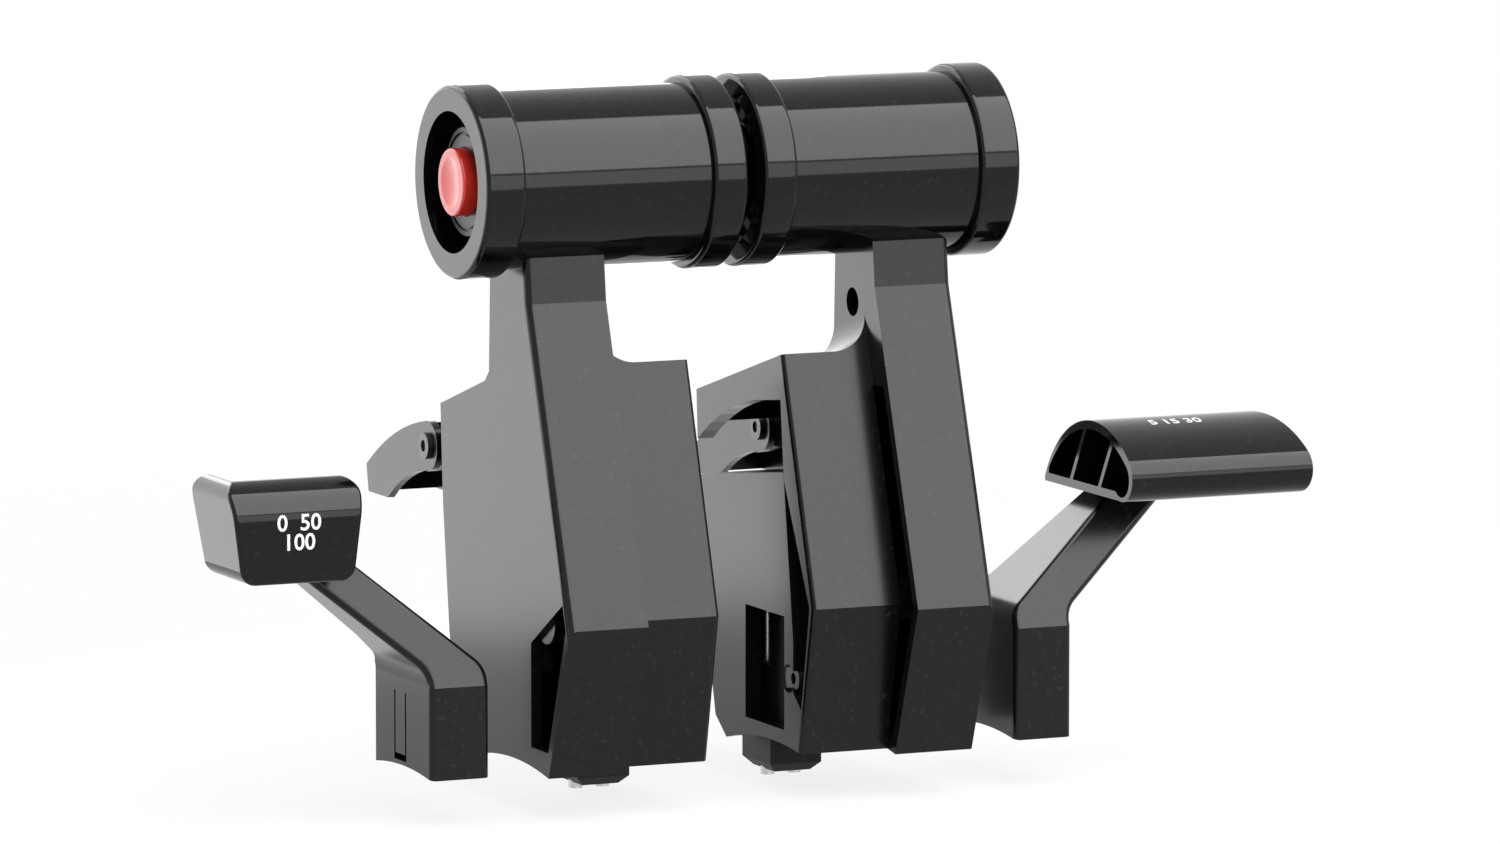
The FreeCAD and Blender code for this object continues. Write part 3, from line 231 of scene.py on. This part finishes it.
def handled_surface():
    """Colour and roughness that vary with handling: soft polished patches and a few dull specks."""
    group, given, out = new_group(
        "Handled surface",
        [("Colour", "NodeSocketColor", (0.0, 0.0, 0.0, 1.0)),
         ("Dust", "NodeSocketColor", (0.1, 0.1, 0.1, 1.0)),
         ("Roughness", "NodeSocketFloat", 0.3), ("Spread", "NodeSocketFloat", 0.04),
         ("Patch Scale", "NodeSocketFloat", 45.0), ("Dust Share", "NodeSocketFloat", 0.03)],
        [("Colour", "NodeSocketColor"), ("Roughness", "NodeSocketFloat")])
    nodes, links = group.nodes, group.links
    place = nodes.new("ShaderNodeTexCoord")
    patch = nodes.new("ShaderNodeTexNoise")
    patch.inputs["Detail"].default_value = 4.0
    speck = nodes.new("ShaderNodeTexNoise")
    speck.inputs["Scale"].default_value = speck_scale
    speck.inputs["Detail"].default_value = 3.0
    for texture in (patch, speck):
        links.new(place.outputs["Object"], texture.inputs["Vector"])
    links.new(given.outputs["Patch Scale"], patch.inputs["Scale"])
    centred = nodes.new("ShaderNodeMath")
    centred.operation = "SUBTRACT"
    centred.inputs[1].default_value = noise_middle
    links.new(patch.outputs["Fac"], centred.inputs[0])
    spread = nodes.new("ShaderNodeMath")
    spread.operation = "MULTIPLY_ADD"
    links.new(centred.outputs[0], spread.inputs[0])
    links.new(given.outputs["Spread"], spread.inputs[1])
    links.new(given.outputs["Roughness"], spread.inputs[2])
    links.new(spread.outputs[0], out.inputs["Roughness"])
    settled = nodes.new("ShaderNodeMapRange")
    settled.inputs["From Min"].default_value = speck_begins
    settled.inputs["From Max"].default_value = speck_full
    links.new(speck.outputs["Fac"], settled.inputs["Value"])
    amount = nodes.new("ShaderNodeMath")
    amount.operation = "MULTIPLY"
    links.new(settled.outputs["Result"], amount.inputs[0])
    links.new(given.outputs["Dust Share"], amount.inputs[1])
    mix = nodes.new("ShaderNodeMix")
    mix.data_type = "RGBA"
    links.new(amount.outputs[0], mix.inputs["Factor"])
    links.new(given.outputs["Colour"], mix.inputs[mix_colour_a])
    links.new(given.outputs["Dust"], mix.inputs[mix_colour_b])
    links.new(mix.outputs[mix_colour_result], out.inputs["Colour"])
    return group


def drawn_wire():
    """Fine lines round a turned or drawn piece, as roughness and height."""
    group, given, out = new_group(
        "Drawn wire",
        [("Line Scale", "NodeSocketFloat", 1500.0), ("Roughness", "NodeSocketFloat", 0.3)],
        [("Roughness", "NodeSocketFloat"), ("Height", "NodeSocketFloat")])
    nodes, links = group.nodes, group.links
    place = nodes.new("ShaderNodeTexCoord")
    lines = nodes.new("ShaderNodeTexNoise")
    lines.inputs["Detail"].default_value = 3.0
    links.new(place.outputs["Object"], lines.inputs["Vector"])
    links.new(given.outputs["Line Scale"], lines.inputs["Scale"])
    vary = nodes.new("ShaderNodeMath")
    vary.operation = "MULTIPLY_ADD"
    vary.inputs[1].default_value = line_spread
    links.new(lines.outputs["Fac"], vary.inputs[0])
    links.new(given.outputs["Roughness"], vary.inputs[2])
    links.new(vary.outputs[0], out.inputs["Roughness"])
    links.new(lines.outputs["Fac"], out.inputs["Height"])
    return group


# Materials

def shared(name, build):
    """Shader group by name, built at its first use."""
    return bpy.data.node_groups.get(name) or build()


def moulded(name, base, roughness, ior, spread, dust_share, grain, depth, wave_share):
    """Moulded plastic: handled colour and roughness over a grain of some width and depth in metres."""
    material = bpy.data.materials.new(name)
    material.use_nodes = True
    nodes, links = material.node_tree.nodes, material.node_tree.links
    surface = nodes["Principled BSDF"]
    surface.inputs["IOR"].default_value = ior
    handled = nodes.new("ShaderNodeGroup")
    handled.node_tree = shared("Handled surface", handled_surface)
    handled.inputs["Colour"].default_value = (*base, 1.0)
    handled.inputs["Dust"].default_value = (*(min(1.0, channel + dust_lift) for channel in base), 1.0)
    handled.inputs["Roughness"].default_value = roughness
    handled.inputs["Spread"].default_value = spread
    handled.inputs["Dust Share"].default_value = dust_share
    links.new(handled.outputs["Colour"], surface.inputs["Base Color"])
    links.new(handled.outputs["Roughness"], surface.inputs["Roughness"])
    skin = nodes.new("ShaderNodeGroup")
    skin.node_tree = shared("Moulded grain", moulded_grain)
    skin.inputs["Grain Scale"].default_value = 1.0 / grain
    skin.inputs["Wave Share"].default_value = wave_share
    bump = nodes.new("ShaderNodeBump")
    bump.inputs["Distance"].default_value = depth
    links.new(skin.outputs["Height"], bump.inputs["Height"])
    links.new(bump.outputs["Normal"], surface.inputs["Normal"])
    return material


def metal(name, base, roughness, metallic):
    """Drawn or turned steel."""
    material = bpy.data.materials.new(name)
    material.use_nodes = True
    nodes, links = material.node_tree.nodes, material.node_tree.links
    surface = nodes["Principled BSDF"]
    surface.inputs["Metallic"].default_value = metallic
    handled = nodes.new("ShaderNodeGroup")
    handled.node_tree = shared("Handled surface", handled_surface)
    handled.inputs["Colour"].default_value = (*base, 1.0)
    handled.inputs["Dust"].default_value = (*(channel * tarnish for channel in base), 1.0)
    handled.inputs["Dust Share"].default_value = tarnish_share
    links.new(handled.outputs["Colour"], surface.inputs["Base Color"])
    wire = nodes.new("ShaderNodeGroup")
    wire.node_tree = shared("Drawn wire", drawn_wire)
    wire.inputs["Roughness"].default_value = roughness
    links.new(wire.outputs["Roughness"], surface.inputs["Roughness"])
    bump = nodes.new("ShaderNodeBump")
    bump.inputs["Distance"].default_value = line_depth
    links.new(wire.outputs["Height"], bump.inputs["Height"])
    links.new(bump.outputs["Normal"], surface.inputs["Normal"])
    return material


def dress(material, *names):
    """Gives CAD nodes one material in every slot."""
    for name in names:
        slots = frame["nodes"][name].data.materials
        for index in range(len(slots)):
            slots[index] = material


def both(*names):
    """Names of the left and the right piece of each kind."""
    return [f"{side}_{name}" for side in sides for name in names]


# Printed marks and springs

def start_clean():
    """Object mode with nothing selected, because an operator acts on all that is selected."""
    if bpy.context.mode != "OBJECT":
        bpy.ops.object.mode_set(mode="OBJECT")
    bpy.ops.object.select_all(action="DESELECT")


def printed(name, words, size, thickness, place, tilt, material, body):
    """Printed figures as a thin mesh: text is added flat, made a mesh, tilted about X and placed."""
    start_clean()
    bpy.ops.object.text_add(location=(0, 0, 0))
    mark = bpy.context.object
    mark.data.body = words
    mark.data.size = size
    mark.data.align_x = "CENTER"
    mark.data.align_y = "CENTER"
    mark.data.space_line = line_spacing
    mark.data.offset = size * ink_spread
    mark.data.extrude = thickness
    mark.data.resolution_u = curve_steps
    bpy.ops.object.convert(target="MESH")
    mark = bpy.context.object
    mark.name = mark.data.name = name
    mark.rotation_euler = (tilt, 0, 0)
    mark.location = place
    bpy.ops.object.transform_apply(location=True, rotation=True, scale=True)
    mark.data.materials.clear()
    mark.data.materials.append(material)
    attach(mark, body)


def press_spring(side):
    """Gives a button's spring its own copy of its mesh; the spring is not shortened."""
    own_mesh(frame["nodes"][f"{side}_button_spring"])


def surface_above(name, x, y):
    """Point and normal of a piece's upper surface at a place seen from above."""
    hit, place, normal, _ = frame["nodes"][name].ray_cast(Vector((x, y, above_the_set)), Vector((0, 0, -1)))
    if not hit:
        raise RuntimeError(f"{name} has no surface below that place")
    return place, normal


# Stage

def seen_directly(nodes, links):
    """1 for rays from the camera, a shiny surface or a clear one, and 0 for the light on the set."""
    path = nodes.new("ShaderNodeLightPath")
    total = path.outputs["Is Camera Ray"]
    for kind in ("Is Glossy Ray", "Is Transmission Ray"):
        joined = nodes.new("ShaderNodeMath")
        joined.operation = "MAXIMUM"
        links.new(total, joined.inputs[0])
        links.new(path.outputs[kind], joined.inputs[1])
        total = joined.outputs[0]
    return total


def pale_paper(studio):
    """Paper that takes light and shadow near the set and turns plain white to the eye further out."""
    material = bpy.data.materials.new("Pale paper")
    material.use_nodes = True
    nodes, links = material.node_tree.nodes, material.node_tree.links
    surface = nodes["Principled BSDF"]
    surface.inputs["Base Color"].default_value = (*studio.paper, 1.0)
    surface.inputs["Roughness"].default_value = 0.9
    surface.inputs["Specular IOR Level"].default_value = 0.1
    white = nodes.new("ShaderNodeEmission")
    white.inputs["Strength"].default_value = 1.0
    place = nodes.new("ShaderNodeTexCoord")
    reach = nodes.new("ShaderNodeVectorMath")
    reach.operation = "DISTANCE"
    reach.inputs[1].default_value = (centre.x, centre.y, low.z)
    links.new(place.outputs["Object"], reach.inputs[0])
    fade = nodes.new("ShaderNodeMapRange")
    fade.interpolation_type = "SMOOTHSTEP"
    fade.inputs["From Min"].default_value = (high.x - low.x) / 2
    fade.inputs["From Max"].default_value = studio.shadow_reach
    fade.inputs["To Min"].default_value = studio.white_share
    fade.inputs["To Max"].default_value = 1.0
    links.new(reach.outputs["Value"], fade.inputs["Value"])
    amount = nodes.new("ShaderNodeMath")
    amount.operation = "MULTIPLY"
    links.new(seen_directly(nodes, links), amount.inputs[0])
    links.new(fade.outputs["Result"], amount.inputs[1])
    pick = nodes.new("ShaderNodeMixShader")
    links.new(amount.outputs[0], pick.inputs["Fac"])
    links.new(surface.outputs["BSDF"], pick.inputs[1])
    links.new(white.outputs["Emission"], pick.inputs[2])
    links.new(pick.outputs["Shader"], nodes["Material Output"].inputs["Surface"])
    return material


def floor(studio, material):
    """Flat floor just below the set."""
    start_clean()
    bpy.ops.mesh.primitive_plane_add(size=studio.floor_size,
                                     location=(centre.x, centre.y, low.z - studio.floor_gap))
    made = bpy.context.object
    made.name = made.data.name = "studio_floor"
    bpy.ops.object.transform_apply(location=True, rotation=True, scale=True)
    made.data.materials.append(material)
    return made


def lamp(name, offset, degrees, width, height, radiance):
    """Rectangular lamp, unseen by the camera, at an offset from the set's middle in metres."""
    start_clean()
    bpy.ops.object.light_add(type="AREA", location=centre + Vector(offset),
                             rotation=[math.radians(angle) for angle in degrees])
    made = bpy.context.object
    made.name = made.data.name = name
    made.data.shape = "RECTANGLE"
    made.data.size = width
    made.data.size_y = height
    made.data.energy = radiance * math.pi * width * height
    made.visible_camera = False


def lamps(studio):
    """A tall front panel, a low one below it, one close behind the left side and one above the back."""
    lamp("Front panel", offset=(0.367, -0.541, 0.634), degrees=(40.5, 0, 0),
         width=1.4, height=1.104, radiance=studio.front_level)
    lamp("Low panel", offset=(0.40, -0.995, 0.10), degrees=(84, 0, 0),
         width=1.4, height=0.28, radiance=studio.low_level)
    lamp("Side panel", offset=(-0.10, 0.17, 0.04), degrees=(90, 0, 204),
         width=0.56, height=0.21, radiance=studio.side_level)
    lamp("Back panel", offset=(-0.30, 0.90, 0.70), degrees=(53.6, 0, 198.4),
         width=0.90, height=0.60, radiance=studio.back_level)


def world(studio):
    """Room that is plain white to the eye and dim for the light on the set."""
    scene = bpy.context.scene
    scene.world = bpy.data.worlds.new("Studio white")
    scene.world.use_nodes = True
    nodes, links = scene.world.node_tree.nodes, scene.world.node_tree.links
    dim = nodes["Background"]
    dim.inputs["Color"].default_value = (studio.ambient, studio.ambient, studio.ambient, 1.0)
    white = nodes.new("ShaderNodeBackground")
    white.inputs["Color"].default_value = (1.0, 1.0, 1.0, 1.0)
    pick = nodes.new("ShaderNodeMixShader")
    links.new(seen_directly(nodes, links), pick.inputs["Fac"])
    links.new(dim.outputs["Background"], pick.inputs[1])
    links.new(white.outputs["Background"], pick.inputs[2])
    links.new(pick.outputs["Shader"], nodes["World Output"].inputs["Surface"])


def camera(studio):
    """Camera at its angle round the target, looking at it."""
    azimuth = studio.camera_azimuth
    rise = studio.camera_height
    look = Vector((-math.sin(azimuth) * math.cos(rise), math.cos(azimuth) * math.cos(rise), -math.sin(rise)))
    target = Vector(studio.target)
    start_clean()
    bpy.ops.object.camera_add(location=target - look * studio.camera_distance,
                              rotation=look.to_track_quat("-Z", "Y").to_euler())
    made = bpy.context.object
    made.name = made.data.name = "Studio camera"
    made.data.sensor_width = camera_sensor
    made.data.lens = studio.lens
    made.data.clip_end = camera_reach
    bpy.context.scene.camera = made


# Operators

class QUADRANT_OT_housings(bpy.types.Operator):
    """Finish the shells, covers, reverse levers and lever arms in satin black"""
    bl_idname = "quadrant.housings"
    bl_label = "Housings"

    def execute(self, context):
        finish = context.scene.quadrant_finish
        satin = moulded("Satin black shell", finish.shell, roughness=finish.shell_roughness,
                        ior=black_plastic_ior, spread=0.05, dust_share=0.08, grain=finish.grain,
                        depth=0.000006, wave_share=0.15)
        dress(satin, *both("outer_shell", "inner_shell", "side_cover", "reverse_lever"),
              "speed_brake_handle", "flap_handle")
        return {"FINISHED"}


class QUADRANT_OT_grips(bpy.types.Operator):
    """Finish the grips and the two small knobs in gloss black"""
    bl_idname = "quadrant.grips"
    bl_label = "Grips and knobs"

    def execute(self, context):
        finish = context.scene.quadrant_finish
        gloss = moulded("Gloss black grip", finish.grip, roughness=finish.grip_roughness,
                        ior=black_plastic_ior, spread=0.03, dust_share=0.05, grain=finish.grain,
                        depth=0.0000012, wave_share=0.5)
        dress(gloss, *both("grip", "grip_end_cap"), "speed_brake_knob", "flap_knob")
        return {"FINISHED"}


class QUADRANT_OT_buttons(bpy.types.Operator):
    """Finish the red push buttons and their black carriers"""
    bl_idname = "quadrant.buttons"
    bl_label = "Buttons"

    def execute(self, context):
        finish = context.scene.quadrant_finish
        red = moulded("Red button", finish.button, roughness=0.22, ior=button_ior, spread=0.04,
                      dust_share=0.04, grain=finish.grain, depth=0.000002, wave_share=0.3)
        carrier = moulded("Satin black carrier", finish.shell, roughness=0.34, ior=black_plastic_ior,
                          spread=0.04, dust_share=0.08, grain=finish.grain, depth=0.000006,
                          wave_share=0.15)
        dress(red, *both("button"))
        dress(carrier, *both("button_carrier"))
        return {"FINISHED"}


class QUADRANT_OT_linkage(bpy.types.Operator):
    """Finish the cranks, plungers, rods, pins, springs and screws"""
    bl_idname = "quadrant.linkage"
    bl_label = "Linkage and fasteners"

    def execute(self, context):
        finish = context.scene.quadrant_finish
        nylon = moulded("Natural nylon", finish.nylon, roughness=0.42, ior=nylon_ior, spread=0.06,
                        dust_share=0.2, grain=finish.grain, depth=0.000008, wave_share=0.2)
        matt = moulded("Matt black moulding", finish.matt, roughness=0.55, ior=black_plastic_ior,
                       spread=0.06, dust_share=0.15, grain=finish.grain * coarse_grain,
                       depth=0.00001, wave_share=0.15)
        dress(nylon, *both("button_crank", "reverse_plunger", "reverse_crank"))
        dress(matt, *both("arm_socket", "rod_guide", "reverse_bracket"))
        dress(metal("Bright steel", finish.steel, roughness=0.18, metallic=1.0),
              *both("button_spring", "button_crank_pin", "button_rod", "reverse_spring",
                    "reverse_crank_pin", "reverse_rod"))
        dress(metal("Blackened steel", finish.screw, roughness=0.22, metallic=0.85),
              *both("case_screws", "reverse_pivot"), "speed_brake_knob_screw", "flap_knob_screw")
        for side in sides:
            press_spring(side)
        return {"FINISHED"}


class QUADRANT_OT_marks(bpy.types.Operator):
    """Print plain white figures on the two small knobs"""
    bl_idname = "quadrant.marks"
    bl_label = "Printed marks"

    def execute(self, context):
        marks = context.scene.quadrant_marks
        finish = context.scene.quadrant_finish
        ink = moulded("White ink", marks.ink, roughness=0.45, ior=ink_ior, spread=0.05,
                      dust_share=0.1, grain=finish.grain, depth=0.000004, wave_share=0.2)
        middle = (knob_low + knob_high) / 2
        printed("speed_brake_marks", "0  50\n100", marks.brake_height, marks.thickness,
                (middle.x, knob_low.y, middle.z), upright, ink, "speed_brake_lever")
        span = flap_high - flap_low
        place, normal = surface_above("flap_knob", flap_low.x + marks.flap_place * span.x,
                                      flap_low.y + marks.flap_depth * span.y)
        printed("flap_marks", "5 15 30", marks.flap_height, marks.thickness,
                place, math.atan2(-normal.y, normal.z), ink, "flap_lever")
        return {"FINISHED"}


class QUADRANT_OT_studio(bpy.types.Operator):
    """Set the pale floor, the lamps, the world and the camera"""
    bl_idname = "quadrant.studio"
    bl_label = "Studio"

    def execute(self, context):
        studio = context.scene.quadrant_studio
        floor(studio, pale_paper(studio))
        lamps(studio)
        world(studio)
        camera(studio)
        context.scene.view_settings.view_transform = "Standard"
        return {"FINISHED"}


# Panel and registration

class QUADRANT_PT_panel(bpy.types.Panel):
    """Buttons that finish each group of pieces and build the studio"""
    bl_idname = "QUADRANT_PT_panel"
    bl_label = "Lever set"
    bl_space_type = "VIEW_3D"
    bl_region_type = "UI"
    bl_category = "Quadrant"

    def draw(self, context):
        for operator in operators:
            self.layout.operator(operator.bl_idname)


groups = {"quadrant_finish": QuadrantFinish, "quadrant_marks": QuadrantMarks,
          "quadrant_studio": QuadrantStudio}
operators = (QUADRANT_OT_housings, QUADRANT_OT_grips, QUADRANT_OT_buttons, QUADRANT_OT_linkage,
             QUADRANT_OT_marks, QUADRANT_OT_studio)


def register():
    """Registers the settings, then the operators and the panel."""
    for group in groups.values():
        bpy.utils.register_class(group)
    for name, group in groups.items():
        setattr(bpy.types.Scene, name, bpy.props.PointerProperty(type=group))
    for made in (*operators, QUADRANT_PT_panel):
        bpy.utils.register_class(made)


def unregister():
    """Removes what register added, in the opposite order."""
    for made in (QUADRANT_PT_panel, *reversed(operators)):
        bpy.utils.unregister_class(made)
    for name in groups:
        delattr(bpy.types.Scene, name)
    for group in reversed(list(groups.values())):
        bpy.utils.unregister_class(group)


def main():
    register()
    bpy.ops.quadrant.housings()
    bpy.ops.quadrant.grips()
    bpy.ops.quadrant.buttons()
    bpy.ops.quadrant.linkage()
    bpy.ops.quadrant.marks()
    bpy.ops.quadrant.studio()


if __name__ == "__main__":
    main()
